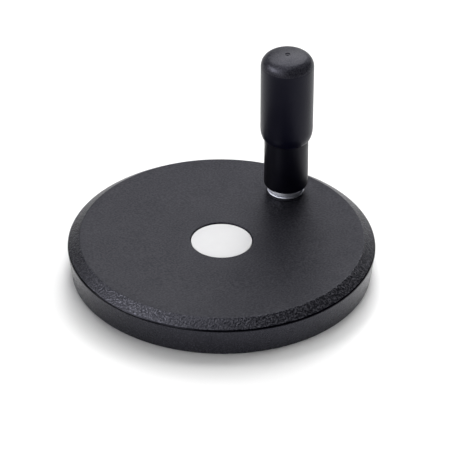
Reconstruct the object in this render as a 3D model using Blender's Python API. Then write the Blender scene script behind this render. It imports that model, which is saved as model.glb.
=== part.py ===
"""A solid-disc handwheel with a revolving grip, 150 mm across, for a 14 mm keyed shaft.

The wheel lies on its rear face. +Z is the shaft's axis and points out of the front face, the origin
is on that axis in the rear plane, and the revolving grip stands on +X.
"""

import math

import bmesh
import bpy
from mathutils import Matrix, Vector

MM = 0.001

# Wheel disc
WHEEL_R = 75 * MM  # widest circle, where the rim's side meets the chamfer
RIM_FOOT_R = 72.9 * MM  # the side leans in towards the rear plane
RIM_EDGE_Z = 14.5 * MM
FACE_R = 69.2 * MM  # where the chamfer meets the front face
FACE_Z = 18.6 * MM
FACE_DISH = 1.7 * MM  # the front face is this much lower at the hub
PLATE_Z = 13.4 * MM  # underside of the front plate, the ceiling of the cells
POCKET_Z = 2 * MM  # the ribs stop this far short of the rear plane
POCKET_R = (22 * MM, 70 * MM)
FOOT_ROUND = 0.5 * MM
EDGE_ROUND = 1.2 * MM
BROW_ROUND = 1.2 * MM
RIB_COUNT = 16
RIB_WIDTH = 2.4 * MM
CELL_RINGS = ((22.6 * MM, 37.2 * MM), (39.4 * MM, 53 * MM), (55.2 * MM, 69.3 * MM))

# Hub
SHAFT_R = 7 * MM
KEY_WIDTH = 5 * MM
KEY_REACH = 9.3 * MM  # from the shaft's axis to the keyway's floor
BUSHING_R = 14 * MM
BUSHING_LENGTH = 12 * MM
BUSHING_GROOVE = (12.5 * MM, 5 * MM, 8.2 * MM)  # radius, lowest and highest point
BOSS_R = 21 * MM
CAP_R = 14.9 * MM
CAP_TOP_Z = 16.5 * MM
CAP_THICKNESS = 1.6 * MM
CAP_SKIRT_R = (11.6 * MM, 12.6 * MM)
CAP_BEAD_R = 13.15 * MM  # catches under the lip in the disc
CAP_LIP_R = 12.95 * MM
CAP_LIP_THICKNESS = 0.8 * MM
CAP_HOOKS = 6
CAP_SLOT = (10.5 * MM, 14 * MM, 1.6 * MM)  # nearest and farthest reach, half width
KNURL_DEPTH = 0.35 * MM

# Handle
HANDLE_X = 53 * MM  # crank radius
PAD_R = 9.6 * MM
PAD_Z = 18.3 * MM
HANDLE_BOSS_R = 11 * MM
HANDLE_BOSS_Z = 1 * MM
INSERT_R = 7 * MM
INSERT_WAIST_R = 6.3 * MM
INSERT_WAISTS = ((5 * MM, 7 * MM), (11 * MM, 13 * MM))
THREAD_R = 5 * MM
JOURNAL_R = 5 * MM
COLLAR_R = 8.8 * MM
COLLAR_Z = (19.5 * MM, 21.7 * MM)
WASHER_R = 9 * MM
NECK_R = 10.8 * MM
NECK_Z = (22.1 * MM, 50.8 * MM)
NECK_ROUND = 1.8 * MM
CORE_TOP_Z = 74.6 * MM
CORE_UPPER_R = 9.6 * MM
CORE_BORE_R = 7.2 * MM
BUSH_R = 7 * MM
RUNNING_GAP = 0.1 * MM  # between the journal and the bushes that turn on it
GRIP_FOOT_R = 12.9 * MM
GRIP_TOP_R = 13.07 * MM
GRIP_STEP = (3 * MM, 7 * MM)  # the grip's foot curves in by a quarter ellipse, across and up
GRIP_STEP_Z = 55.5 * MM  # where that curve starts
GRIP_TOP_Z = 97 * MM
GRIP_SHOULDER_R = 5.9 * MM
GRIP_DOME_R = 36 * MM
COVER_CROWN = 5 * MM  # thickness of the cover's closed end
SPINDLE_FOOT_Z = 1.4 * MM
SPINDLE_TOP_Z = 79 * MM
RING_GROOVE = (4.2 * MM, 76.1 * MM, 77.5 * MM)  # radius, lowest and highest point
RING_OUTER_R = 6.3 * MM
RING_LUG_R = 7.6 * MM
RING_MOUTH = 9  # degrees from +X to each end of the retaining ring
RING_LUG_END = 28
PLIERS_HOLE = (0.5 * MM, 6.2 * MM, 18)  # radius, distance from the axis, degrees from +X
HEX_SOCKET = 5 * MM  # across flats
SOCKET_DEPTH = 5 * MM
THRUST_WASHER = (8.3 * MM, 0.9 * MM)  # radius and thickness
TOP_WASHER = (8 * MM, 1 * MM)
BUSH_LENGTH = 12 * MM
BUSH_FLANGE = (8.3 * MM, 1.4 * MM)

GAP = 0.3 * MM  # between pieces that touch or are pressed together
WASHER_GAP = 0.2 * MM
DISC_STEPS = 72
HUB_STEPS = 48
HANDLE_STEPS = 36
CELL_STEPS = 3


def clear_scene():
    for old in list(bpy.data.objects):
        bpy.data.objects.remove(old)


def make_material(name, colour, roughness, metallic=0.0):
    material = bpy.data.materials.new(name)
    material.use_nodes = True
    shader = material.node_tree.nodes["Principled BSDF"]
    shader.inputs["Base Color"].default_value = (*colour, 1)
    shader.inputs["Roughness"].default_value = roughness
    shader.inputs["Metallic"].default_value = metallic
    return material


def arc(centre, radii, start, end, steps):
    """Points of an ellipse's arc in the profile plane, with angles in degrees from +r towards +z."""
    angles = [math.radians(start + (end - start) * i / steps) for i in range(steps + 1)]
    return [(centre[0] + radii[0] * math.cos(a), centre[1] + radii[1] * math.sin(a)) for a in angles]


def rounded(before, corner, after, radius, steps=3):
    """The corner between two straight runs of a profile, rounded off."""
    corner = Vector(corner)
    back = (Vector(before) - corner).normalized()
    ahead = (Vector(after) - corner).normalized()
    half = back.angle(ahead) / 2
    centre = corner + (back + ahead).normalized() * radius / math.sin(half)
    first = corner + back * radius / math.tan(half) - centre
    last = corner + ahead * radius / math.tan(half) - centre
    sweep = first.angle_signed(last)
    turns = [Matrix.Rotation(-sweep * i / steps, 2) for i in range(steps + 1)]
    return [tuple(centre + turn @ first) for turn in turns]


def add_mesh(name, bm, material=None):
    bmesh.ops.recalc_face_normals(bm, faces=bm.faces)
    mesh = bpy.data.meshes.new(name)
    bm.to_mesh(mesh)
    bm.free()
    mesh.shade_smooth()
    mesh.set_sharp_from_angle(angle=math.radians(30))
    obj = bpy.data.objects.new(name, mesh)
    bpy.context.scene.collection.objects.link(obj)
    if material:
        mesh.materials.append(material)
    return obj


def turned(name, profile, steps, material=None, x=0.0):
    """A solid of revolution about Z from a closed (r, z) outline. Its object stands at x."""
    bm = bmesh.new()
    ring = [bm.verts.new((r, 0, z)) for r, z in profile]
    edges = [bm.edges.new((ring[i - 1], ring[i])) for i in range(len(ring))]
    on_axis = [e for e in edges if all(v.co.x < 1e-6 for v in e.verts)]
    spun = [e for e in edges if e not in on_axis]
    bmesh.ops.delete(bm, geom=on_axis, context="EDGES_FACES")
    bmesh.ops.spin(
        bm, geom=ring + spun, cent=(0, 0, 0), axis=(0, 0, 1),
        angle=math.tau, steps=steps, use_merge=True, use_duplicate=False,
    )
    bmesh.ops.remove_doubles(bm, verts=bm.verts, dist=1e-6)
    obj = add_mesh(name, bm, material)
    obj.location.x = x
    return obj


def prism(name, outlines, low, high):
    """A cutter made of one upright prism for each (x, y) outline."""
    bm = bmesh.new()
    for outline in outlines:
        floor = bm.faces.new([bm.verts.new((x, y, low)) for x, y in outline])
        sides = bmesh.ops.extrude_face_region(bm, geom=[floor], use_keep_orig=True)["geom"]
        tops = [v for v in sides if isinstance(v, bmesh.types.BMVert)]
        bmesh.ops.translate(bm, vec=(0, 0, high - low), verts=tops)
    return add_mesh(name, bm)


def combine(obj, other, operation):
    """Adds an EXACT Boolean with a helper that isn't a piece of the object itself."""
    other.hide_render = True
    other.display_type = "WIRE"
    modifier = obj.modifiers.new(other.name, "BOOLEAN")
    modifier.operation = operation
    modifier.object = other


def serrate(obj, low, high, inner_r, depth):
    """Presses every other line of vertices inwards, as a straight knurl."""
    for vertex in obj.data.vertices:
        r = math.hypot(vertex.co.x, vertex.co.y)
        if not (low < vertex.co.z < high and r > inner_r):
            continue
        step = math.tau / HUB_STEPS
        if round(math.atan2(vertex.co.y, vertex.co.x) / step) % 2:
            vertex.co.xy *= (r - depth) / r


def polygon(sides, radius, turn=0.0, x=0.0, y=0.0):
    angles = [turn + math.tau * i / sides for i in range(sides)]
    return [(x + radius * math.cos(a), y + radius * math.sin(a)) for a in angles]


def face_z(r):
    """Height of the dished front face at a radius."""
    return FACE_Z - FACE_DISH * (1 - (r / FACE_R) ** 2)


def cell_outline(inner_r, outer_r, index):
    """One pocket between two ribs, whose sides are parallel to the ribs."""
    pitch = math.tau / RIB_COUNT

    def run(r):
        margin = math.asin(RIB_WIDTH / 2 / r)
        start = index * pitch + margin
        sweep = pitch - 2 * margin
        angles = [start + sweep * i / CELL_STEPS for i in range(CELL_STEPS + 1)]
        return [(r * math.cos(a), r * math.sin(a)) for a in angles]

    return run(outer_r) + run(inner_r)[::-1]


def disc_profile():
    """Half section of the moulded disc, from the rim's foot over the front to the hub and back."""
    foot = (RIM_FOOT_R, 0)
    edge = (WHEEL_R, RIM_EDGE_Z)
    brow = (FACE_R, FACE_Z)
    inner_foot = (POCKET_R[1], 0)
    recess_r = CAP_R + GAP
    inward = [FACE_R - 3 * MM, 52 * MM, 34 * MM]
    face = [(r, face_z(r)) for r in inward]
    outside = [inner_foot] + rounded(inner_foot, foot, edge, FOOT_ROUND)
    outside += rounded(foot, edge, brow, EDGE_ROUND, 4) + rounded(edge, brow, face[0], BROW_ROUND)
    ledge_z = CAP_TOP_Z - CAP_THICKNESS - GAP
    groove_r = CAP_BEAD_R + 0.35 * MM
    groove_top = ledge_z - CAP_LIP_THICKNESS
    seat_r = BUSHING_R + GAP
    seat_z = BUSHING_LENGTH + GAP
    key_r, key_low, key_high = BUSHING_GROOVE
    cap_recess = [
        (recess_r + 0.3 * MM, face_z(recess_r)), (recess_r, face_z(recess_r) - 0.3 * MM),
        (recess_r, ledge_z), (CAP_LIP_R, ledge_z), (CAP_LIP_R, groove_top), (groove_r, groove_top),
    ]
    bushing_seat = [
        (groove_r, seat_z), (seat_r, seat_z), (seat_r, key_high - GAP), (key_r + GAP, key_high - GAP),
        (key_r + GAP, key_low + GAP), (seat_r, key_low + GAP), (seat_r, 0),
    ]
    boss_edge = 0.6 * MM
    rear = [
        (BOSS_R - boss_edge, 0), (BOSS_R, boss_edge), (POCKET_R[0], POCKET_Z), (POCKET_R[1], POCKET_Z),
    ]
    return outside + face + cap_recess + bushing_seat + rear


def make_wheel_disc(material):
    """The disc with its rear cells, and the boss and front pad that hold the handle."""
    disc = turned("wheel_disc", disc_profile(), DISC_STEPS, material)
    cells = [cell_outline(a, b, i) for a, b in CELL_RINGS for i in range(RIB_COUNT)]
    combine(disc, prism("cells_cutter", cells, -MM, PLATE_Z), "DIFFERENCE")
    inside_z = PLATE_Z + 1.5 * MM
    boss_edge = 0.5 * MM
    pad_edge = 0.2 * MM
    boss = [
        (0, HANDLE_BOSS_Z), (HANDLE_BOSS_R - boss_edge, HANDLE_BOSS_Z),
        (HANDLE_BOSS_R, HANDLE_BOSS_Z + boss_edge), (HANDLE_BOSS_R, inside_z), (PAD_R, inside_z),
        (PAD_R, PAD_Z - pad_edge), (PAD_R - pad_edge, PAD_Z), (0, PAD_Z),
    ]
    combine(disc, turned("handle_boss", boss, HANDLE_STEPS, x=HANDLE_X), "UNION")
    bore = [(0, 0), (INSERT_R + GAP, 0)]
    for low, high in INSERT_WAISTS:
        bore += [(INSERT_R + GAP, low + GAP), (INSERT_WAIST_R + GAP, low + GAP)]
        bore += [(INSERT_WAIST_R + GAP, high - GAP), (INSERT_R + GAP, high - GAP)]
    bore += [(INSERT_R + GAP, FACE_Z + MM), (0, FACE_Z + MM)]
    combine(disc, turned("insert_cutter", bore, HANDLE_STEPS, x=HANDLE_X), "DIFFERENCE")


def make_hub_bushing(material):
    """The steel bushing: keyed bore, knurled outside, and a groove that locks it in the disc."""
    groove_r, groove_low, groove_high = BUSHING_GROOVE
    bevel = 0.5 * MM
    profile = [
        (SHAFT_R + bevel, 0), (BUSHING_R - bevel, 0), (BUSHING_R, bevel), (BUSHING_R, groove_low),
        (groove_r, groove_low), (groove_r, groove_high), (BUSHING_R, groove_high),
        (BUSHING_R, BUSHING_LENGTH - bevel), (BUSHING_R - bevel, BUSHING_LENGTH),
        (SHAFT_R + bevel, BUSHING_LENGTH), (SHAFT_R, BUSHING_LENGTH - bevel), (SHAFT_R, bevel),
    ]
    bushing = turned("hub_bushing", profile, HUB_STEPS, material)
    serrate(bushing, bevel / 2, BUSHING_LENGTH - bevel / 2, BUSHING_R - bevel / 2, KNURL_DEPTH)
    side = KEY_WIDTH / 2
    key = [(0, -side), (KEY_REACH, -side), (KEY_REACH, side), (0, side)]
    combine(bushing, prism("keyway_cutter", [key], -MM, BUSHING_LENGTH + MM), "DIFFERENCE")


def make_hub_cap(material):
    """A snap-in cap: a flat disc on a slotted skirt, whose bead catches under the disc's lip."""
    under = CAP_TOP_Z - CAP_THICKNESS
    edge = 0.35 * MM
    inner_r, outer_r = CAP_SKIRT_R
    foot = BUSHING_LENGTH + 0.4 * MM
    profile = [(0, CAP_TOP_Z)] + arc((CAP_R - edge, CAP_TOP_Z - edge), (edge, edge), 90, 0, 2)
    profile += [(CAP_R, under), (outer_r, under), (outer_r, foot + 1.3 * MM)]
    profile += [(CAP_BEAD_R, foot + 0.9 * MM), (CAP_BEAD_R, foot + 0.5 * MM)]
    profile += [(outer_r - 0.2 * MM, foot), (inner_r, foot), (inner_r, under), (0, under)]
    cap = turned("hub_cap", profile, HUB_STEPS, material)
    near, far, side = CAP_SLOT
    corners = [Vector(c) for c in ((near, -side), (far, -side), (far, side), (near, side))]
    turns = [Matrix.Rotation(math.tau * i / CAP_HOOKS, 2) for i in range(CAP_HOOKS)]
    slots = [[tuple(turn @ corner) for corner in corners] for turn in turns]
    combine(cap, prism("hook_slots_cutter", slots, foot - MM, under), "DIFFERENCE")


def make_handle_insert(material):
    """The threaded insert that the disc's boss is moulded round."""
    low = HANDLE_BOSS_Z - 0.4 * MM
    high = PAD_Z - 0.1 * MM
    edge = 0.3 * MM
    bore_r = THREAD_R + GAP
    profile = [(bore_r + edge, low), (INSERT_R - edge, low), (INSERT_R, low + edge)]
    for start, end in INSERT_WAISTS:
        profile += [(INSERT_R, start), (INSERT_WAIST_R, start)]
        profile += [(INSERT_WAIST_R, end), (INSERT_R, end)]
    profile += [(INSERT_R, high), (bore_r, high), (bore_r, low + edge)]
    turned("handle_insert", profile, HANDLE_STEPS, material, HANDLE_X)


def make_handle_spindle(material):
    """One turned pin: threaded shank, clamping collar, journal and retaining groove."""
    low, high = COLLAR_Z
    groove_r, groove_low, groove_high = RING_GROOVE
    bevel = 0.35 * MM
    tip = 0.6 * MM
    undercut_r = THREAD_R - 0.4 * MM
    profile = [
        (0, SPINDLE_FOOT_Z), (THREAD_R - MM, SPINDLE_FOOT_Z), (THREAD_R, SPINDLE_FOOT_Z + MM),
        (THREAD_R, low - 0.8 * MM), (undercut_r, low - 0.6 * MM), (undercut_r, low),
        (COLLAR_R - bevel, low), (COLLAR_R, low + bevel), (COLLAR_R, high - bevel),
        (COLLAR_R - bevel, high), (JOURNAL_R, high), (JOURNAL_R, groove_low), (groove_r, groove_low),
        (groove_r, groove_high), (JOURNAL_R, groove_high), (JOURNAL_R, SPINDLE_TOP_Z - tip),
        (JOURNAL_R - tip, SPINDLE_TOP_Z), (0, SPINDLE_TOP_Z),
    ]
    spindle = turned("handle_spindle", profile, HANDLE_STEPS, material, HANDLE_X)
    corners = polygon(6, HEX_SOCKET / 2 / math.cos(math.pi / 6), x=HANDLE_X)
    socket = prism("hex_cutter", [corners], 0, SPINDLE_FOOT_Z + SOCKET_DEPTH)
    combine(spindle, socket, "DIFFERENCE")


def make_flat_ring(name, inner_r, outer_r, low, high, material):
    """A flat washer with broken outer edges, round the handle's axis."""
    bevel = 0.15 * MM
    profile = [
        (inner_r, low), (outer_r - bevel, low), (outer_r, low + bevel),
        (outer_r, high - bevel), (outer_r - bevel, high), (inner_r, high),
    ]
    turned(name, profile, HANDLE_STEPS, material, HANDLE_X)


def make_washers(plated_steel, bush_plastic):
    """The washer under the collar, and those that the grip runs against below and above."""
    low, high = PAD_Z + WASHER_GAP, COLLAR_Z[0] - WASHER_GAP
    make_flat_ring("collar_washer", THREAD_R + GAP, WASHER_R, low, high, plated_steel)
    running_r = JOURNAL_R + RUNNING_GAP
    radius, thickness = THRUST_WASHER
    low = COLLAR_Z[1] + WASHER_GAP
    make_flat_ring("thrust_washer", running_r, radius, low, low + thickness, bush_plastic)
    radius, thickness = TOP_WASHER
    low = CORE_TOP_Z + GAP
    make_flat_ring("top_washer", running_r, radius, low, low + thickness, plated_steel)


def make_retaining_ring(material):
    """An open spring ring with two lugs and pliers holes, in the spindle's groove."""
    groove_r, groove_low, groove_high = RING_GROOVE
    play = 0.15 * MM
    mouth = math.radians(RING_MOUTH)
    lug_end = math.radians(RING_LUG_END)
    steps = 30
    sweep = [mouth + (math.tau - 2 * mouth) * i / steps for i in range(steps + 1)]

    def run(angle, radius):
        return (radius * math.cos(angle), radius * math.sin(angle))

    outer = [run(a, RING_LUG_R if min(a, math.tau - a) < lug_end else RING_OUTER_R) for a in sweep]
    inner = [run(a, groove_r + play) for a in reversed(sweep)]
    low = groove_low + play
    high = groove_high - play
    ring = prism("retaining_ring", [outer + inner], low, high)
    ring.data.materials.append(material)
    ring.location.x = HANDLE_X
    hole_r, reach, angle = PLIERS_HOLE
    places = [run(side * math.radians(angle), reach) for side in (1, -1)]
    holes = [polygon(12, hole_r, x=HANDLE_X + x, y=y) for x, y in places]
    combine(ring, prism("pliers_holes_cutter", holes, low - MM, high + MM), "DIFFERENCE")


def make_bushes(material):
    """Two plain bushes, pressed into the ends of the grip's core. The lower one has a flange."""
    bore_r = JOURNAL_R + RUNNING_GAP
    flange_r, flange_thickness = BUSH_FLANGE
    foot = NECK_Z[0] + 1.1 * MM
    shoulder = foot + flange_thickness
    profile = [
        (bore_r, foot), (flange_r, foot), (flange_r, shoulder), (BUSH_R, shoulder),
        (BUSH_R, foot + BUSH_LENGTH), (bore_r, foot + BUSH_LENGTH),
    ]
    turned("lower_bush", profile, HANDLE_STEPS, material, HANDLE_X)
    top = CORE_TOP_Z - 0.2 * MM
    low = top - BUSH_LENGTH
    profile = [(bore_r, low), (BUSH_R, low), (BUSH_R, top), (bore_r, top)]
    turned("upper_bush", profile, HANDLE_STEPS, material, HANDLE_X)


def make_grip_core(material):
    """The inner sleeve. Its lower half shows as the grip's neck, and the cover is pressed on above."""
    foot, neck_top = NECK_Z
    counterbore_r = BUSH_FLANGE[0] + GAP
    counterbore_z = foot + 2.8 * MM
    bead_z = CORE_TOP_Z - 5 * MM
    bead_r = CORE_UPPER_R + 0.15 * MM
    tip = 0.6 * MM
    edge_centre = (NECK_R - NECK_ROUND, foot + NECK_ROUND)
    profile = [(counterbore_r, foot)] + arc(edge_centre, (NECK_ROUND, NECK_ROUND), -90, 0, 5)
    profile += [(NECK_R, neck_top), (CORE_UPPER_R, neck_top)]
    profile += [(CORE_UPPER_R, bead_z - MM), (bead_r, bead_z), (CORE_UPPER_R, bead_z + MM)]
    profile += [(CORE_UPPER_R, CORE_TOP_Z - tip), (CORE_UPPER_R - tip, CORE_TOP_Z)]
    profile += [(CORE_BORE_R, CORE_TOP_Z), (CORE_BORE_R, counterbore_z), (counterbore_r, counterbore_z)]
    turned("grip_core", profile, HANDLE_STEPS, material, HANDLE_X)


def make_grip_cover(material):
    """The closed outer shell: curved in at the foot, a shallow dome with a round shoulder on top."""
    cavity_r = CORE_UPPER_R + 0.35 * MM
    mouth_r = NECK_R + GAP
    step_z = NECK_Z[1] + GAP
    step_centre = (GRIP_FOOT_R - GRIP_STEP[0], GRIP_STEP_Z)
    lowest = math.degrees(math.acos((mouth_r + 0.2 * MM - step_centre[0]) / GRIP_STEP[0]))
    foot = arc(step_centre, GRIP_STEP, -lowest, 0, 6)
    lip_z = foot[0][1]
    shoulder_r = GRIP_TOP_R - GRIP_SHOULDER_R
    dome_reach = GRIP_DOME_R - GRIP_SHOULDER_R
    dome_angle = math.asin(shoulder_r / dome_reach)
    dome_centre = (0, GRIP_TOP_Z - GRIP_DOME_R)
    shoulder_centre = (shoulder_r, dome_centre[1] + dome_reach * math.cos(dome_angle))
    rim = 90 - math.degrees(dome_angle)
    shoulder = arc(shoulder_centre, (GRIP_SHOULDER_R, GRIP_SHOULDER_R), 0, rim, 8)
    dome = arc(dome_centre, (GRIP_DOME_R, GRIP_DOME_R), rim, 90, 4)[1:-1] + [(0, GRIP_TOP_Z)]
    cavity_z = GRIP_TOP_Z - COVER_CROWN
    slant = 3 * MM
    inside = [
        (0, cavity_z), (cavity_r - slant, cavity_z), (cavity_r, cavity_z - slant),
        (cavity_r, step_z), (mouth_r, step_z), (mouth_r, lip_z),
    ]
    turned("grip_cover", foot + shoulder + dome + inside, HANDLE_STEPS, material, HANDLE_X)


def main():
    clear_scene()
    black_plastic = make_material("black_plastic", (0.022, 0.022, 0.025), 0.55)
    grip_plastic = make_material("grip_plastic", (0.016, 0.016, 0.018), 0.5)
    neck_plastic = make_material("neck_plastic", (0.010, 0.010, 0.011), 0.38)
    cap_plastic = make_material("cap_plastic", (0.80, 0.80, 0.81), 0.45)
    bush_plastic = make_material("bush_plastic", (0.70, 0.68, 0.62), 0.4)
    plated_steel = make_material("plated_steel", (0.62, 0.63, 0.66), 0.28, 1)
    black_steel = make_material("black_steel", (0.09, 0.09, 0.10), 0.4, 1)
    brass = make_material("brass", (0.72, 0.53, 0.25), 0.35, 1)

    make_wheel_disc(black_plastic)
    make_hub_bushing(black_steel)
    make_hub_cap(cap_plastic)
    make_handle_insert(brass)
    make_handle_spindle(plated_steel)
    make_washers(plated_steel, bush_plastic)
    make_retaining_ring(black_steel)
    make_bushes(bush_plastic)
    make_grip_core(neck_plastic)
    make_grip_cover(grip_plastic)


main()
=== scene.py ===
import math

import bmesh
import bpy
from mathutils import Matrix, Vector


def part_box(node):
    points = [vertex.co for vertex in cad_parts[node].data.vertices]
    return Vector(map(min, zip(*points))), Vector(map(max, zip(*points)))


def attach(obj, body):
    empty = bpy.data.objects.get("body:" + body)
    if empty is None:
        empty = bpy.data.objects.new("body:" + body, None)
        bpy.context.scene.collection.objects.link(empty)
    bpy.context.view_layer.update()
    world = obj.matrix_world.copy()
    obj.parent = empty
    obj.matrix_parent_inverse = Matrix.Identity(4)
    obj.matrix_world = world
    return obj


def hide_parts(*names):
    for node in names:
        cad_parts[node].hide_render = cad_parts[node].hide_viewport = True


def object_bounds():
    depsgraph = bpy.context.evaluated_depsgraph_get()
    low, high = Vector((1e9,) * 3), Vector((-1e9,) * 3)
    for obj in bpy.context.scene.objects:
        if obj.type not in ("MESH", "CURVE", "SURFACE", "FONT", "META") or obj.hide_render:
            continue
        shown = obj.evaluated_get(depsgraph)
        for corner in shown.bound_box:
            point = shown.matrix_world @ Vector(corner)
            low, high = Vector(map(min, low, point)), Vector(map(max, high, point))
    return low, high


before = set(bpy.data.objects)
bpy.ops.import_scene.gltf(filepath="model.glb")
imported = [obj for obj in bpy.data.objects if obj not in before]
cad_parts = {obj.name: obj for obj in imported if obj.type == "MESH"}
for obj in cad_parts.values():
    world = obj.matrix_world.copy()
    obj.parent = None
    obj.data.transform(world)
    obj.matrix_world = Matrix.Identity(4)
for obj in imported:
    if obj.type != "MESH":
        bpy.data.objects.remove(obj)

MM = 0.001

# The photograph's view: the camera looks along +Y turned by AZIMUTH about Z, and down by ELEVATION.
AZIMUTH = math.radians(-53.85)
ELEVATION = math.radians(33.73)
ROLL = math.radians(0.494)
LENS_MM = 560
DISTANCE = 3.413
AIM = (0.0016, 0.02137)  # from the wheel's centre to the picture's centre, across and up

# Studio panels as (azimuth, elevation, watts). Azimuth 0 is above the camera, 90 to the picture's right.
PANEL_SIZE = 0.62
SHINE_PANEL_SIZE = 0.8
PANEL_DISTANCE = 2.2
PANEL_AIM = Vector((0, 0, 0.02))
PANELS = (
    (270, 8, 3.5), (144, 24, 2.6), (162, 24, 5.2), (180, 24, 1.6), (216, 24, 1.5),
    (158, 40, 5.8), (180, 40, 7.6), (202, 40, 2.2),
    (150, 56, 4.9), (180, 56, 6.8), (210, 56, 7.0), (240, 56, 1.1), (300, 56, 1.3),
    (0, 73, 3.1), (154, 73, 3.8), (206, 73, 0.7), (309, 73, 0.7), (0, 89, 5.8),
)
# These brighten the floor, but don't show as a shine on the pieces.
FILL_PANELS = ((0, 8, 16.0), (70, 24, 3.0), (116, 38, 9.0), (176, 32, 19.0), (198, 32, 2.0))
# These show as a shine on the pieces, but leave the floor alone.
SHINE_PANELS = (
    (272, 34, 24.0), (292, 34, 42.0), (306, 58, 10.0), (330, 30, 12.0), (210, 56, 6.7), (325, 10, 6.0),
)

# Wheel disc
RIM_R = 74.98 * MM  # where the side and the chamfer would meet if the edge weren't rounded
RIM_FOOT_R = 72.9 * MM
RIM_EDGE_Z = 14.5 * MM
FACE_R = 69.2 * MM  # where the chamfer meets the front face
FACE_Z = 18.6 * MM
FACE_DISH = 1.7 * MM  # the front face is this much lower at the hub
FOOT_ROUND = 0.5 * MM
EDGE_ROUND = 1.2 * MM
BROW_ROUND = 1.2 * MM
PLATE_Z = 13.4 * MM  # underside of the front plate, the ceiling of the cells
POCKET_Z = 2 * MM  # the ribs stop this far short of the rear plane
POCKET_R = (22 * MM, 70 * MM)
BOSS_R = 21 * MM
RIB_COUNT = 16
RIB_WIDTH = 2.4 * MM
CELL_RINGS = ((22.6 * MM, 37.2 * MM), (39.4 * MM, 53 * MM), (55.2 * MM, 69.3 * MM))
CELL_CORNER = 1.2 * MM
CELL_FLARE = 0.25 * MM
CELL_DRAFT = 0.15 * MM
CELL_FILLET = 1 * MM
FACE, CHAMFER, REAR, SIDE, EDGE = range(5)  # the disc's materials
CHAMFER_SLOPE = 0.3  # the chamfer's faces look up by more than this
EDGE_SLOPES = (-0.08, 0.79)  # the edge band that carries the painted dark reflection, by how far its faces look up

# Hub
SHAFT_R = 7 * MM
KEY_WIDTH = 5 * MM
KEY_REACH = 9.3 * MM
BUSHING_GROOVE = (12.5 * MM, 5 * MM, 8.2 * MM)  # radius, lowest and highest point
CAP_THICKNESS = 1.6 * MM
CAP_SKIRT_R = (11.6 * MM, 12.6 * MM)
CAP_BEAD_R = 13.15 * MM  # catches under the lip in the disc
CAP_LIP_R = 12.95 * MM
CAP_LIP_THICKNESS = 0.8 * MM
CAP_GROOVE_R = 13.5 * MM
CAP_HOOKS = 6
CAP_SLOT = (10.5 * MM, 14 * MM, 1.6 * MM)  # nearest and farthest reach, half width

# Handle
PAD_R = 9.6 * MM
PAD_Z = 18.3 * MM
HANDLE_BOSS_R = 11 * MM
HANDLE_BOSS_Z = 1 * MM
INSERT_WAIST_R = 6.3 * MM
INSERT_WAISTS = ((5 * MM, 7 * MM), (11 * MM, 13 * MM))
THREAD_R = 5 * MM
JOURNAL_R = 5 * MM
RING_GROOVE = (4.2 * MM, 76.1 * MM, 77.5 * MM)  # radius, lowest and highest point
HEX_SOCKET = 5 * MM  # across flats
SOCKET_DEPTH = 5 * MM
COLLAR_R = 8.8 * MM
COLLAR_Z = (19.5 * MM, 21.7 * MM)
CORE_UPPER_R = 9.6 * MM
CORE_BORE_R = 7.2 * MM
CORE_STEP_Z = 50.8 * MM
CORE_BEAD = (0.15 * MM, 5 * MM)  # height, and distance below the core's top
COUNTERBORE = (8.6 * MM, 2.8 * MM)  # radius and depth
NECK_ROUND = 1.8 * MM
GRIP_FOOT_R = 12.9 * MM
GRIP_STEP = (3 * MM, 7 * MM)  # the grip's foot curves in by a quarter ellipse, across and up
GRIP_STEP_Z = 55.5 * MM
GRIP_SHOULDER_R = 5.9 * MM
GRIP_DOME_R = 36 * MM
CROWN_DEPTH = 5.6 * MM  # how far the crown's coarser grain and its lighter colour, a painted highlight, reach down the grip
COVER_CROWN = 5 * MM  # thickness of the cover's closed end
GATE_MARK = ((1.6, 0.03), (1.35, 0.12), (1.2, 0.4), (0.75, 0.4), (0.6, 0.12), (0.4, 0.05), (0, 0.03))  # mm
COVER_GAP = 0.35 * MM

FINE_GROOVE = 0.02 * MM
ZINC_GROOVE = 0.12 * MM
GAP = 0.3 * MM  # between pieces that touch or are pressed together
FLOOR_GAP = 0.02 * MM
SHARP_ANGLE = math.radians(35)
COOL = (0.82, 0.82, 1.0)  # the slightly blue shine of the black plastic
DISC_STEPS = 360
HUB_STEPS = 192
HANDLE_STEPS = 144


# ---------------------------------------------------------------- mesh helpers

def arc(centre, radii, start, end, steps):
    """Points of an ellipse's arc in section, with angles in degrees from +r towards +z."""
    angles = [math.radians(start + (end - start) * i / steps) for i in range(steps + 1)]
    return [(centre[0] + radii[0] * math.cos(a), centre[1] + radii[1] * math.sin(a)) for a in angles]


def rounded(before, corner, after, radius, steps=6):
    """The corner between two straight runs of a section, rounded off."""
    corner = Vector(corner)
    back = (Vector(before) - corner).normalized()
    ahead = (Vector(after) - corner).normalized()
    half = back.angle(ahead) / 2
    centre = corner + (back + ahead).normalized() * radius / math.sin(half)
    first = corner + back * radius / math.tan(half) - centre
    last = corner + ahead * radius / math.tan(half) - centre
    sweep = first.angle_signed(last)
    turns = [Matrix.Rotation(-sweep * i / steps, 2) for i in range(steps + 1)]
    return [tuple(centre + turn @ first) for turn in turns]


def softened(outline, steps=3):
    """A closed outline of (r, z, corner radius) points, with each corner rounded by its own radius."""
    points = []
    for i, (r, z, radius) in enumerate(outline):
        before = outline[i - 1][:2]
        after = outline[(i + 1) % len(outline)][:2]
        points += rounded(before, (r, z), after, radius, steps) if radius else [(r, z)]
    return points


def mesh_object(name, bm):
    bmesh.ops.recalc_face_normals(bm, faces=bm.faces)
    mesh = bpy.data.meshes.new(name)
    bm.to_mesh(mesh)
    bm.free()
    mesh.shade_smooth()
    mesh.set_sharp_from_angle(angle=SHARP_ANGLE)
    obj = bpy.data.objects.new(name, mesh)
    bpy.context.scene.collection.objects.link(obj)
    return obj


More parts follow.
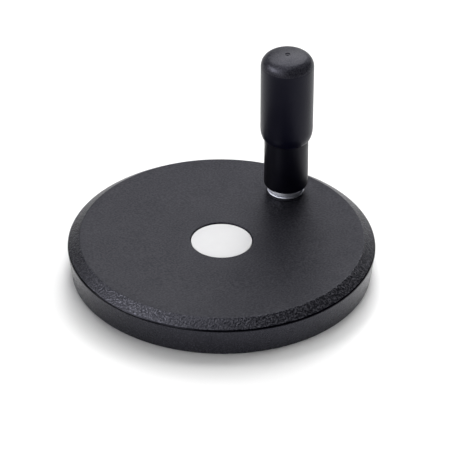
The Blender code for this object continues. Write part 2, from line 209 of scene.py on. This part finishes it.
def turned(name, section, steps, x=0.0):
    """A closed solid of revolution about an upright axis at x, from a closed (r, z) outline."""
    bm = bmesh.new()
    ring = [bm.verts.new((r, 0, z)) for r, z in section]
    edges = [bm.edges.new((ring[i - 1], ring[i])) for i in range(len(ring))]
    on_axis = [e for e in edges if all(v.co.x < 1e-6 for v in e.verts)]
    spun = [e for e in edges if e not in on_axis]
    bmesh.ops.delete(bm, geom=on_axis, context="EDGES_FACES")
    bmesh.ops.spin(
        bm, geom=ring + spun, cent=(0, 0, 0), axis=(0, 0, 1),
        angle=math.tau, steps=steps, use_merge=True, use_duplicate=False,
    )
    bmesh.ops.remove_doubles(bm, verts=bm.verts, dist=1e-6)
    bmesh.ops.translate(bm, vec=(x, 0, 0), verts=bm.verts)
    return mesh_object(name, bm)


def stacked(name, layers):
    """A closed solid through matching (x, y) outlines, each at its own height."""
    bm = bmesh.new()
    rings = [[bm.verts.new((x, y, z)) for x, y in outline] for z, outline in layers]
    count = len(rings[0])
    for low, high in zip(rings, rings[1:]):
        for i in range(count):
            bm.faces.new((low[i - 1], low[i], high[i], high[i - 1]))
    bm.faces.new(rings[0])
    bm.faces.new(rings[-1])
    return mesh_object(name, bm)


def merged(name, parts):
    """Several helper solids that don't touch, as one object."""
    bm = bmesh.new()
    for part in parts:
        bm.from_mesh(part.data)
        bpy.data.objects.remove(part)
    return mesh_object(name, bm)


def combine(obj, tool, operation):
    """Cuts the tool out of obj or adds it, and leaves only the result."""
    modifier = obj.modifiers.new("cut", "BOOLEAN")
    modifier.operation = operation
    modifier.object = tool
    depsgraph = bpy.context.evaluated_depsgraph_get()
    result = bpy.data.meshes.new_from_object(obj.evaluated_get(depsgraph))
    obj.modifiers.clear()
    obj.data = result
    bpy.data.objects.remove(tool)
    result.shade_smooth()
    result.set_sharp_from_angle(angle=SHARP_ANGLE)


def finish_piece(piece, node, body, slot, *materials):
    """The piece stands for its CAD node, rides on its body and takes its materials."""
    piece.data.materials.clear()
    for material in materials:
        piece.data.materials.append(material)
    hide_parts(node)
    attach(piece, body)


# ---------------------------------------------------------------- material helpers

class Surface:
    """A Principled material with short ways to add noise, colour and relief."""

    def __init__(self, name, metallic=0.0):
        self.material = bpy.data.materials.new(name)
        self.material.use_nodes = True
        self.tree = self.material.node_tree
        self.shader = self.tree.nodes["Principled BSDF"]
        self.shader.inputs["Metallic"].default_value = metallic
        self.place = self.tree.nodes.new("ShaderNodeTexCoord").outputs["Object"]
        self.normal = None

    def texture(self, kind, size, place=None):
        """A texture whose features are about size metres across."""
        node = self.tree.nodes.new(kind)
        node.inputs["Scale"].default_value = 1 / size
        self.tree.links.new(place or self.place, node.inputs["Vector"])
        return node

    def noise(self, size, detail=2.0, place=None):
        """Smooth noise from 0 to 1."""
        node = self.texture("ShaderNodeTexNoise", size, place)
        node.inputs["Detail"].default_value = detail
        return node.outputs["Fac"]

    def cells(self, size, place):
        """Rounded pebbles, by the distance from their middles."""
        node = self.texture("ShaderNodeTexVoronoi", size, place)
        node.feature = "SMOOTH_F1"
        node.inputs["Smoothness"].default_value = 0.6
        return node.outputs["Distance"]

    def warped(self, size, amount):
        """The object's own coordinates, pushed about by noise."""
        noise = self.texture("ShaderNodeTexNoise", size)
        noise.inputs["Detail"].default_value = 1
        shift = self.tree.nodes.new("ShaderNodeVectorMath")
        shift.operation = "MULTIPLY_ADD"
        shift.inputs[1].default_value = (amount, amount, amount)
        self.tree.links.new(noise.outputs["Color"], shift.inputs[0])
        self.tree.links.new(self.place, shift.inputs[2])
        return shift.outputs["Vector"]

    def rings(self, x):
        """Coordinates that change only with radius and height about the upright axis at x."""
        flat = self.tree.nodes.new("ShaderNodeVectorMath")
        flat.operation = "MULTIPLY_ADD"
        flat.inputs[1].default_value = (1, 1, 0)
        flat.inputs[2].default_value = (-x, 0, 0)
        self.tree.links.new(self.place, flat.inputs[0])
        length = self.tree.nodes.new("ShaderNodeVectorMath")
        length.operation = "LENGTH"
        self.tree.links.new(flat.outputs["Vector"], length.inputs[0])
        split = self.tree.nodes.new("ShaderNodeSeparateXYZ")
        self.tree.links.new(self.place, split.inputs["Vector"])
        join = self.tree.nodes.new("ShaderNodeCombineXYZ")
        self.tree.links.new(length.outputs["Value"], join.inputs["X"])
        self.tree.links.new(split.outputs["Z"], join.inputs["Z"])
        return join.outputs["Vector"]

    def colour(self, value, dark, light, start=0.3, end=0.7):
        """Blends two colours by a signal between start and end, for the base colour."""
        ramp = self.tree.nodes.new("ShaderNodeValToRGB")
        for element, position, colour in zip(ramp.color_ramp.elements, (start, end), (dark, light)):
            element.position = position
            element.color = (*colour, 1)
        self.tree.links.new(value, ramp.inputs["Fac"])
        self.tree.links.new(ramp.outputs["Color"], self.shader.inputs["Base Color"])

    def roughness(self, value, low, high):
        """Maps a signal between 0.3 and 0.7 onto a roughness between low and high."""
        node = self.tree.nodes.new("ShaderNodeMapRange")
        for name, number in (("From Min", 0.3), ("From Max", 0.7), ("To Min", low), ("To Max", high)):
            node.inputs[name].default_value = number
        self.tree.links.new(value, node.inputs["Value"])
        self.tree.links.new(node.outputs["Result"], self.shader.inputs["Roughness"])

    def shine(self, level):
        """How much the black plastic reflects. Its reflection is slightly blue."""
        self.shader.inputs["Specular IOR Level"].default_value = level
        self.shader.inputs["Specular Tint"].default_value = (*COOL, 1)

    def relief(self, value, height, strength=1.0):
        """Adds relief, height metres for a signal of 1, on top of any relief already there."""
        bump = self.tree.nodes.new("ShaderNodeBump")
        bump.inputs["Distance"].default_value = height
        bump.inputs["Strength"].default_value = strength
        self.tree.links.new(value, bump.inputs["Height"])
        if self.normal:
            self.tree.links.new(self.normal, bump.inputs["Normal"])
        self.normal = bump.outputs["Normal"]
        self.tree.links.new(self.normal, self.shader.inputs["Normal"])


# ---------------------------------------------------------------- materials

def moulded_face():
    """Black moulded plastic with a fine matt grain, whose pits hold less light than its peaks."""
    surface = Surface("black_plastic_fine_grain")
    grain = surface.noise(0.95 * MM, detail=1)
    patches = surface.noise(14 * MM, detail=2)
    surface.colour(grain, (0.0, 0.0, 0.002), (0.015, 0.015, 0.019))
    surface.roughness(patches, 0.47, 0.52)
    surface.shine(0.16)
    surface.relief(grain, 0.06 * MM)
    return surface.material


def moulded_chamfer():
    """The same plastic with a coarse leather grain."""
    surface = Surface("black_plastic_leather_grain")
    pebbles = surface.cells(1.0 * MM, place=surface.warped(1.4 * MM, 0.5 * MM))
    grain = surface.noise(0.9 * MM, detail=1)
    surface.colour(grain, (0.0, 0.0, 0.001), (0.036, 0.036, 0.042), 0.46, 0.64)
    surface.roughness(grain, 0.42, 0.34)
    surface.shine(0.3)
    surface.relief(pebbles, -0.2 * MM)
    surface.relief(grain, 0.14 * MM)
    return surface.material


def moulded_side():
    """The rim's side, with the fine grain and a deeper black."""
    surface = Surface("black_plastic_rim_side")
    grain = surface.noise(1 * MM, detail=3)
    patches = surface.noise(9 * MM, detail=2)
    surface.colour(patches, (0.012, 0.012, 0.016), (0.015, 0.015, 0.019))
    surface.roughness(grain, 0.22, 0.3)
    surface.shine(0.42)
    surface.relief(grain, 0.08 * MM)
    return surface.material


def moulded_edge():
    """The rim's rounded edge, smoother than the rest. Its near-black colour and weak shine are a painted
    dark reflection, drawn as a black line along the edge.
    """
    surface = Surface("black_plastic_edge_painted_dark_line")
    grain = surface.noise(1 * MM, detail=3)
    # near-black colour: painted dark reflection, a black line along the rim's edge
    surface.colour(grain, (0.0002, 0.0002, 0.001), (0.0005, 0.0005, 0.0015))
    surface.roughness(grain, 0.16, 0.26)
    surface.shine(0.08)
    surface.relief(grain, 0.03 * MM)
    return surface.material


def moulded_rear():
    """The rear side's plastic, smoother and slightly glossy from the polished mould."""
    surface = Surface("black_plastic_plain")
    flow = surface.noise(9 * MM, detail=3)
    grain = surface.noise(0.7 * MM, detail=2)
    surface.colour(flow, (0.008, 0.008, 0.012), (0.011, 0.011, 0.015))
    surface.roughness(flow, 0.32, 0.42)
    surface.shine(0.4)
    surface.relief(grain, 0.03 * MM, 0.2)
    return surface.material


def grip_satin():
    """The grip cover's satin plastic."""
    surface = Surface("grip_plastic_satin")
    grain = surface.noise(0.9 * MM, detail=3)
    patches = surface.noise(11 * MM, detail=2)
    surface.colour(patches, (0.001, 0.001, 0.0055), (0.002, 0.002, 0.007))
    surface.roughness(grain, 0.3, 0.4)
    surface.shine(0.175)
    surface.relief(grain, 0.06 * MM)
    return surface.material


def grip_crown():
    """The grip's top, with a matt spark-eroded grain in its relief. Its colour is lighter than the grip's
    side and speckled, a painted highlight and glitter of the top catching the light.
    """
    surface = Surface("grip_plastic_crown_painted_highlight")
    grain = surface.noise(0.65 * MM, detail=1)
    patches = surface.noise(5 * MM, detail=2)
    # lighter, speckled colour than the grip's side: painted highlight and glitter on the top
    surface.colour(grain, (0.002, 0.002, 0.006), (0.030, 0.030, 0.036))
    surface.roughness(patches, 0.32, 0.38)
    surface.shine(0.19)
    surface.relief(grain, 0.12 * MM)
    return surface.material


def neck_gloss():
    """The neck's smooth plastic, with faint turning marks."""
    surface = Surface("neck_plastic_gloss")
    flow = surface.noise(8 * MM, detail=2)
    marks = surface.noise(0.35 * MM, detail=2, place=surface.rings(handle_x))
    surface.colour(flow, (0.0003, 0.0003, 0.002), (0.0006, 0.0006, 0.003))
    surface.roughness(flow, 0.34, 0.42)
    surface.shine(0.16)
    surface.relief(marks, 0.01 * MM, 0.25)
    return surface.material


def cap_light():
    """The hub cap's light satin plastic."""
    surface = Surface("cap_plastic_light")
    cloud = surface.noise(6 * MM, detail=3)
    grain = surface.noise(0.4 * MM, detail=2)
    surface.colour(cloud, (0.54, 0.54, 0.55), (0.565, 0.565, 0.575))
    surface.roughness(cloud, 0.38, 0.48)
    surface.relief(grain, 0.02 * MM, 0.2)
    return surface.material


def acetal():
    """Natural acetal of the bushes and the thrust washer."""
    surface = Surface("bush_plastic_natural")
    cloud = surface.noise(3 * MM, detail=3)
    marks = surface.noise(0.3 * MM, detail=2, place=surface.rings(handle_x))
    surface.colour(cloud, (0.66, 0.64, 0.58), (0.72, 0.70, 0.64))
    surface.roughness(cloud, 0.3, 0.42)
    surface.relief(marks, 0.015 * MM, 0.3)
    return surface.material


def turned_metal(name, dark, light, roughness, axis_x=0.0, groove=FINE_GROOVE):
    """Metal with turning marks round an upright axis, groove deep."""
    surface = Surface(name, metallic=1.0)
    cloud = surface.noise(2.5 * MM, detail=4)
    marks = surface.noise(0.22 * MM, detail=2, place=surface.rings(axis_x))
    surface.colour(cloud, dark, light)
    surface.roughness(marks, roughness, roughness + 0.14)
    surface.relief(marks, groove)
    return surface.material


# ---------------------------------------------------------------- pieces

def face_z(r):
    """Height of the dished front face at a radius."""
    return FACE_Z - FACE_DISH * (1 - (r / FACE_R) ** 2)


def disc_section():
    """Half section of the moulded disc, from the rim's foot over the front to the hub and back."""
    foot = (RIM_FOOT_R, 0)
    edge = (RIM_R, RIM_EDGE_Z)
    brow = (FACE_R, FACE_Z)
    inner_foot = (POCKET_R[1], 0)
    face_steps = 14
    recess_r = cap_r + GAP
    start_r = FACE_R - 2 * BROW_ROUND
    end_r = recess_r + 1.2 * MM
    face = [start_r + (end_r - start_r) * i / face_steps for i in range(face_steps + 1)]
    outer = rounded(inner_foot, foot, edge, FOOT_ROUND)
    outer += rounded(foot, edge, brow, EDGE_ROUND, 12)
    outer += rounded(edge, brow, (start_r, face_z(start_r)), BROW_ROUND, 8)
    outer += [(r, face_z(r)) for r in face]
    ledge_z = cap_top - CAP_THICKNESS - GAP
    lip_z = ledge_z - CAP_LIP_THICKNESS
    seat_r = bushing_r + GAP
    seat_z = bushing_top + GAP
    key_r, key_low, key_high = BUSHING_GROOVE
    inner = softened([
        (end_r, face_z(end_r), 0), (recess_r, face_z(recess_r), 0.35 * MM), (recess_r, ledge_z, 0),
        (CAP_LIP_R, ledge_z, 0), (CAP_LIP_R, lip_z, 0), (CAP_GROOVE_R, lip_z, 0), (CAP_GROOVE_R, seat_z, 0),
        (seat_r, seat_z, 0), (seat_r, key_high - GAP, 0), (key_r + GAP, key_high - GAP, 0),
        (key_r + GAP, key_low + GAP, 0), (seat_r, key_low + GAP, 0), (seat_r, 0, 0.2 * MM),
        (BOSS_R, 0, 0.5 * MM), (BOSS_R + 0.3 * MM, POCKET_Z, 0.6 * MM),
        (POCKET_R[1] - 0.2 * MM, POCKET_Z, 0.8 * MM), (POCKET_R[1], 0, 0.5 * MM),
        (POCKET_R[1] + 1.4 * MM, 0, 0),
    ])
    return outer + inner[1:-1]


def cell_outline(ring, index, inset):
    """One pocket between two ribs, drawn in by inset, with rounded corners."""
    inner_r = ring[0] + inset
    outer_r = ring[1] - inset
    margin = RIB_WIDTH / 2 + inset
    pitch = math.tau / RIB_COUNT
    steps = 8

    def run(r, ends):
        trim = math.asin(margin / r) + ends / r
        angles = [index * pitch + trim + (pitch - 2 * trim) * i / steps for i in range(steps + 1)]
        return [(r * math.cos(a), r * math.sin(a)) for a in angles]

    def side(r, turn):
        trim = math.asin(margin / r)
        angle = index * pitch + (pitch - trim if turn > 0 else trim)
        return [(r * math.cos(angle), r * math.sin(angle))]

    corner = CELL_CORNER
    cut = corner * 0.3
    outline = run(outer_r, corner)
    outline += side(outer_r - cut, 1) + side(outer_r - corner, 1)
    outline += side(inner_r + corner, 1) + side(inner_r + cut, 1)
    outline += run(inner_r, corner)[::-1]
    outline += side(inner_r + cut, -1) + side(inner_r + corner, -1)
    outline += side(outer_r - corner, -1) + side(outer_r - cut, -1)
    return outline


def cell_tool():
    """All the pockets, flared at the mouth and rounded at the ceiling."""
    fillet_z = PLATE_Z - CELL_FILLET
    levels = [(-MM, -CELL_FLARE), (POCKET_Z, -CELL_FLARE)]
    levels += [(POCKET_Z + CELL_FLARE, 0), (fillet_z, CELL_DRAFT)]
    for angle in (30, 60, 90):
        turn = math.radians(angle)
        inset = CELL_DRAFT + CELL_FILLET * (1 - math.cos(turn))
        levels.append((fillet_z + CELL_FILLET * math.sin(turn), inset))
    cells = []
    for ring in CELL_RINGS:
        for index in range(RIB_COUNT):
            layers = [(z, cell_outline(ring, index, inset)) for z, inset in levels]
            cells.append(stacked("cell", layers))
    return merged("cells", cells)


def handle_boss():
    """The boss under the handle and the low pad round it on the front face."""
    inside_z = PLATE_Z + 1.5 * MM
    section = softened([
        (0, HANDLE_BOSS_Z, 0), (HANDLE_BOSS_R, HANDLE_BOSS_Z, 0.6 * MM), (HANDLE_BOSS_R, inside_z, 0),
        (PAD_R, inside_z, 0), (PAD_R, PAD_Z, 0.25 * MM), (0, PAD_Z, 0),
    ], 4)
    return turned("boss", section, HANDLE_STEPS, handle_x)


def insert_seat():
    radius = insert_r + GAP
    waist = INSERT_WAIST_R + GAP
    section = [(0, 0), (radius, 0)]
    for low, high in INSERT_WAISTS:
        section += [(radius, low + GAP), (waist, low + GAP), (waist, high - GAP), (radius, high - GAP)]
    section += [(radius, FACE_Z + MM), (0, FACE_Z + MM)]
    return turned("seat", section, HANDLE_STEPS, handle_x)


def region(face):
    """Which of the disc's materials a face takes."""
    slack = 0.05 * MM
    centre, slope = face.center, face.normal.z
    r = math.hypot(centre.x, centre.y)
    # the edge band takes the material whose colour paints the dark reflection line
    if r > RIM_R - MM and EDGE_SLOPES[0] < slope < EDGE_SLOPES[1]:
        return EDGE
    if r > FACE_R - slack and centre.z > RIM_EDGE_Z + slack and slope > CHAMFER_SLOPE:
        return CHAMFER
    if r < POCKET_R[1] + MM and centre.z < PLATE_Z + slack:
        return REAR
    if r > POCKET_R[1] and centre.z < RIM_EDGE_Z + slack:
        return SIDE
    return FACE


def make_wheel_disc():
    disc = turned("wheel_disc_moulding", disc_section(), DISC_STEPS)
    combine(disc, cell_tool(), "DIFFERENCE")
    combine(disc, handle_boss(), "UNION")
    combine(disc, insert_seat(), "DIFFERENCE")
    finish_piece(
        disc, "wheel_disc", "wheel", "black_plastic",
        moulded_face(), moulded_chamfer(), moulded_rear(), moulded_side(), moulded_edge(),
    )
    for face in disc.data.polygons:
        face.material_index = region(face)


def make_hub_cap():
    under = cap_top - CAP_THICKNESS
    foot = bushing_top + 0.4 * MM
    skirt_in, skirt_out = CAP_SKIRT_R
    section = softened([
        (0, cap_top, 0), (cap_r, cap_top, 0.35 * MM), (cap_r, under, 0.15 * MM), (skirt_out, under, 0),
        (skirt_out, foot + 1.3 * MM, 0), (CAP_BEAD_R, foot + 0.7 * MM, 0.2 * MM),
        (skirt_out - 0.2 * MM, foot, 0.1 * MM), (skirt_in, foot, 0.2 * MM), (skirt_in, under, 0),
        (0, under, 0),
    ], 4)
    cap = turned("hub_cap_moulding", section, HUB_STEPS)
    near, far, side = CAP_SLOT
    corners = ((near, -side), (far, -side), (far, side), (near, side))
    slots = []
    for i in range(CAP_HOOKS):
        along = Matrix.Rotation(math.tau * i / CAP_HOOKS, 2)
        outline = [tuple(along @ Vector(corner)) for corner in corners]
        slots.append(stacked("slot", [(foot - MM, outline), (under, outline)]))
    combine(cap, merged("slots", slots), "DIFFERENCE")
    finish_piece(cap, "hub_cap", "wheel", "cap_plastic", cap_light())


def make_hub_bushing():
    groove_r, groove_low, groove_high = BUSHING_GROOVE
    edge = 0.5 * MM
    section = softened([
        (SHAFT_R, 0, edge), (bushing_r, 0, edge), (bushing_r, groove_low, 0), (groove_r, groove_low, 0),
        (groove_r, groove_high, 0), (bushing_r, groove_high, 0), (bushing_r, bushing_top, edge),
        (SHAFT_R, bushing_top, edge),
    ], 4)
    bushing = turned("hub_bushing_steel", section, HUB_STEPS)
    side = KEY_WIDTH / 2
    key = [(0, -side), (KEY_REACH, -side), (KEY_REACH, side), (0, side)]
    combine(bushing, stacked("key", [(-MM, key), (bushing_top + MM, key)]), "DIFFERENCE")
    steel = turned_metal("black_steel_turned", (0.055, 0.055, 0.06), (0.09, 0.09, 0.095), 0.3)
    finish_piece(bushing, "hub_bushing", "wheel", "black_steel", steel)


def make_handle_insert():
    low, high = (corner.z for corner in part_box("handle_insert"))
    bore_r = THREAD_R + GAP
    outline = [(bore_r, low, 0.3 * MM), (insert_r, low, 0.3 * MM)]
    for start, end in INSERT_WAISTS:
        outline += [(insert_r, start, 0), (INSERT_WAIST_R, start, 0)]
        outline += [(INSERT_WAIST_R, end, 0), (insert_r, end, 0)]
    outline += [(insert_r, high, 0.15 * MM), (bore_r, high, 0)]
    insert = turned("handle_insert_brass", softened(outline), HANDLE_STEPS, handle_x)
    brass = turned_metal("brass_turned", (0.60, 0.42, 0.17), (0.70, 0.50, 0.22), 0.24, handle_x)
    finish_piece(insert, "handle_insert", "wheel", "insert_brass", brass)


def make_handle_spindle(plated):
    foot, top = (corner.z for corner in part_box("handle_spindle"))
    low, high = COLLAR_Z
    groove_r, groove_low, groove_high = RING_GROOVE
    edge = 0.35 * MM
    undercut = THREAD_R - 0.4 * MM
    section = softened([
        (0, foot, 0), (THREAD_R, foot, 0.8 * MM), (THREAD_R, low - 0.8 * MM, 0),
        (undercut, low - 0.6 * MM, 0), (undercut, low, 0), (COLLAR_R, low, edge), (COLLAR_R, high, edge),
        (JOURNAL_R, high, 0), (JOURNAL_R, groove_low, 0), (groove_r, groove_low, 0),
        (groove_r, groove_high, 0),
        (JOURNAL_R, groove_high, 0), (JOURNAL_R, top, 0.5 * MM), (0, top, 0),
    ], 4)
    spindle = turned("handle_spindle_plated", section, HANDLE_STEPS, handle_x)
    reach = HEX_SOCKET / 2 / math.cos(math.pi / 6)
    turns = [math.tau * i / 6 for i in range(6)]
    hexagon = [(handle_x + reach * math.cos(a), reach * math.sin(a)) for a in turns]
    combine(spindle, stacked("socket", [(0, hexagon), (foot + SOCKET_DEPTH, hexagon)]), "DIFFERENCE")
    finish_piece(spindle, "handle_spindle", "wheel", "plated_steel", plated)


def make_collar_washer(plated):
    low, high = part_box("collar_washer")
    radius = (high.x - low.x) / 2
    edge = 0.25 * MM
    bore_r = THREAD_R + GAP
    section = softened([
        (bore_r, low.z, 0), (radius, low.z, edge), (radius, high.z, edge), (bore_r, high.z, 0),
    ], 4)
    washer = turned("collar_washer_plated", section, HANDLE_STEPS, handle_x)
    finish_piece(washer, "collar_washer", "wheel", "plated_steel", plated)


def make_grip_core():
    low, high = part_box("grip_core")
    neck_r = (high.x - low.x) / 2
    counterbore_r = COUNTERBORE[0]
    counterbore_z = low.z + COUNTERBORE[1]
    bead_r = CORE_UPPER_R + CORE_BEAD[0]
    bead_z = high.z - CORE_BEAD[1]
    section = softened([
        (counterbore_r, low.z, 0.15 * MM), (neck_r, low.z, NECK_ROUND), (neck_r, CORE_STEP_Z, 0),
        (CORE_UPPER_R, CORE_STEP_Z, 0), (CORE_UPPER_R, bead_z - MM, 0), (bead_r, bead_z, 0),
        (CORE_UPPER_R, bead_z + MM, 0), (CORE_UPPER_R, high.z, 0.5 * MM), (CORE_BORE_R, high.z, 0),
        (CORE_BORE_R, counterbore_z, 0), (counterbore_r, counterbore_z, 0),
    ], 8)
    core = turned("grip_core_moulding", section, HANDLE_STEPS, handle_x)
    finish_piece(core, "grip_core", "grip", "neck_plastic", neck_gloss())


def gate_mark(top):
    """A small sunk ring with a nub in it, where the mould's gate was."""
    return [(r * MM, top - depth * MM) for r, depth in GATE_MARK]


def make_grip_cover():
    low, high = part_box("grip_cover")
    grip_r = (high.x - low.x) / 2
    neck_low, neck_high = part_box("grip_core")
    cavity_r = CORE_UPPER_R + COVER_GAP
    mouth_r = (neck_high.x - neck_low.x) / 2 + GAP
    step_z = CORE_STEP_Z + GAP
    step_centre = (GRIP_FOOT_R - GRIP_STEP[0], GRIP_STEP_Z)
    foot_r = mouth_r + 0.2 * MM
    lowest = math.degrees(math.acos((foot_r - step_centre[0]) / GRIP_STEP[0]))
    foot = arc(step_centre, GRIP_STEP, -lowest, 0, 16)
    shoulder_r = grip_r - GRIP_SHOULDER_R
    reach = GRIP_DOME_R - GRIP_SHOULDER_R
    dome_angle = math.asin(shoulder_r / reach)
    dome_centre = (0, high.z - GRIP_DOME_R)
    shoulder_centre = (shoulder_r, dome_centre[1] + reach * math.cos(dome_angle))
    rim = 90 - math.degrees(dome_angle)
    shoulder = arc(shoulder_centre, (GRIP_SHOULDER_R, GRIP_SHOULDER_R), 0, rim, 16)
    dome = arc(dome_centre, (GRIP_DOME_R, GRIP_DOME_R), rim, 90, 12)[1:-2]
    cavity_z = high.z - COVER_CROWN
    inside = [
        (0, cavity_z), (cavity_r - 3 * MM, cavity_z), (cavity_r, cavity_z - 3 * MM),
        (cavity_r, step_z), (mouth_r, step_z), (mouth_r, foot[0][1]),
    ]
    section = foot + shoulder + dome + gate_mark(high.z) + inside
    cover = turned("grip_cover_moulding", section, HANDLE_STEPS, handle_x)
    finish_piece(cover, "grip_cover", "grip", "grip_plastic", grip_satin(), grip_crown())
    # the crown's faces take the lighter material whose colour paints the top's highlight
    for face in cover.data.polygons:
        face.material_index = 1 if face.center.z > high.z - CROWN_DEPTH else 0


def paint_inner_nodes(plated):
    """The CAD nodes that stay as they are."""
    natural = acetal()
    black = turned_metal("spring_steel_black", (0.05, 0.05, 0.055), (0.08, 0.08, 0.085), 0.3, handle_x)
    kept = {
        "thrust_washer": natural, "lower_bush": natural, "upper_bush": natural,
        "top_washer": plated, "retaining_ring": black,
    }
    for name, material in kept.items():
        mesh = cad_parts[name].data
        mesh.materials.clear()
        mesh.materials.append(material)


# ---------------------------------------------------------------- stage

def view_matrix(azimuth, elevation):
    """Axes of something that looks down at the wheel from azimuth and elevation."""
    right = Vector((math.cos(azimuth), math.sin(azimuth), 0))
    back = Vector((math.sin(azimuth) * math.cos(elevation), -math.cos(azimuth) * math.cos(elevation),
                   math.sin(elevation)))
    up = back.cross(right)
    return Matrix((right, up, back)).transposed()


def make_camera():
    axes = view_matrix(AZIMUTH, ELEVATION)
    data = bpy.data.cameras.new("camera")
    data.lens = LENS_MM
    data.sensor_width = 36
    data.clip_end = 50
    camera = bpy.data.objects.new("camera", data)
    bpy.context.scene.collection.objects.link(camera)
    place = axes @ Vector((AIM[0], AIM[1], DISTANCE))
    turn = (axes @ Matrix.Rotation(ROLL, 3, "Z")).to_4x4()
    camera.matrix_world = Matrix.Translation(place) @ turn
    bpy.context.scene.camera = camera


def softbox(name, azimuth, elevation, power, size=PANEL_SIZE):
    """A square light that faces the wheel. Azimuth is counted like the camera's, from its view."""
    axes = view_matrix(AZIMUTH + math.radians(azimuth), math.radians(elevation))
    data = bpy.data.lights.new(name, "AREA")
    data.shape = "SQUARE"
    data.size = size
    data.energy = power
    light = bpy.data.objects.new(name, data)
    bpy.context.scene.collection.objects.link(light)
    place = PANEL_AIM + axes @ Vector((0, 0, PANEL_DISTANCE))
    light.matrix_world = Matrix.Translation(place) @ axes.to_4x4()
    return light


def make_floor():
    bm = bmesh.new()
    bmesh.ops.create_grid(bm, x_segments=1, y_segments=1, size=4)
    floor = mesh_object("floor", bm)
    floor.location.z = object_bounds()[0][2] - FLOOR_GAP
    surface = Surface("floor_white")
    cloud = surface.noise(0.5, detail=1)
    surface.colour(cloud, (0.9, 0.9, 0.9), (0.92, 0.92, 0.92))
    surface.shader.inputs["Roughness"].default_value = 0.9
    surface.shader.inputs["Specular IOR Level"].default_value = 0
    floor.data.materials.append(surface.material)


def make_light():
    scene = bpy.context.scene
    scene.view_settings.view_transform = "Standard"
    world = bpy.data.worlds.new("studio")
    world.use_nodes = True
    world.node_tree.nodes["Background"].inputs["Color"].default_value = (1, 1, 1, 1)
    world.node_tree.nodes["Background"].inputs["Strength"].default_value = 0.0
    scene.world = world
    for azimuth, elevation, power in PANELS:
        softbox(f"panel_{azimuth}_{elevation}", azimuth, elevation, power)
    for azimuth, elevation, power in FILL_PANELS:
        light = softbox(f"fill_{azimuth}_{elevation}", azimuth, elevation, power)
        light.visible_glossy = False
    for azimuth, elevation, power in SHINE_PANELS:
        light = softbox(f"shine_{azimuth}_{elevation}", azimuth, elevation, power, SHINE_PANEL_SIZE)
        light.visible_diffuse = False


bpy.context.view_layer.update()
cap_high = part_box("hub_cap")[1]
bushing_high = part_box("hub_bushing")[1]
insert_low, insert_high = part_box("handle_insert")
cap_r = cap_high.x
cap_top = cap_high.z
bushing_r = bushing_high.x
bushing_top = bushing_high.z
handle_x = (insert_low.x + insert_high.x) / 2
insert_r = (insert_high.x - insert_low.x) / 2

make_camera()
zinc = turned_metal(
    "zinc_plated_turned", (0.48, 0.49, 0.55), (0.58, 0.59, 0.65), 0.5, handle_x, ZINC_GROOVE,
)
make_wheel_disc()
make_hub_cap()
make_hub_bushing()
make_handle_insert()
make_handle_spindle(zinc)
make_collar_washer(zinc)
make_grip_core()
make_grip_cover()
paint_inner_nodes(zinc)
make_floor()
make_light()
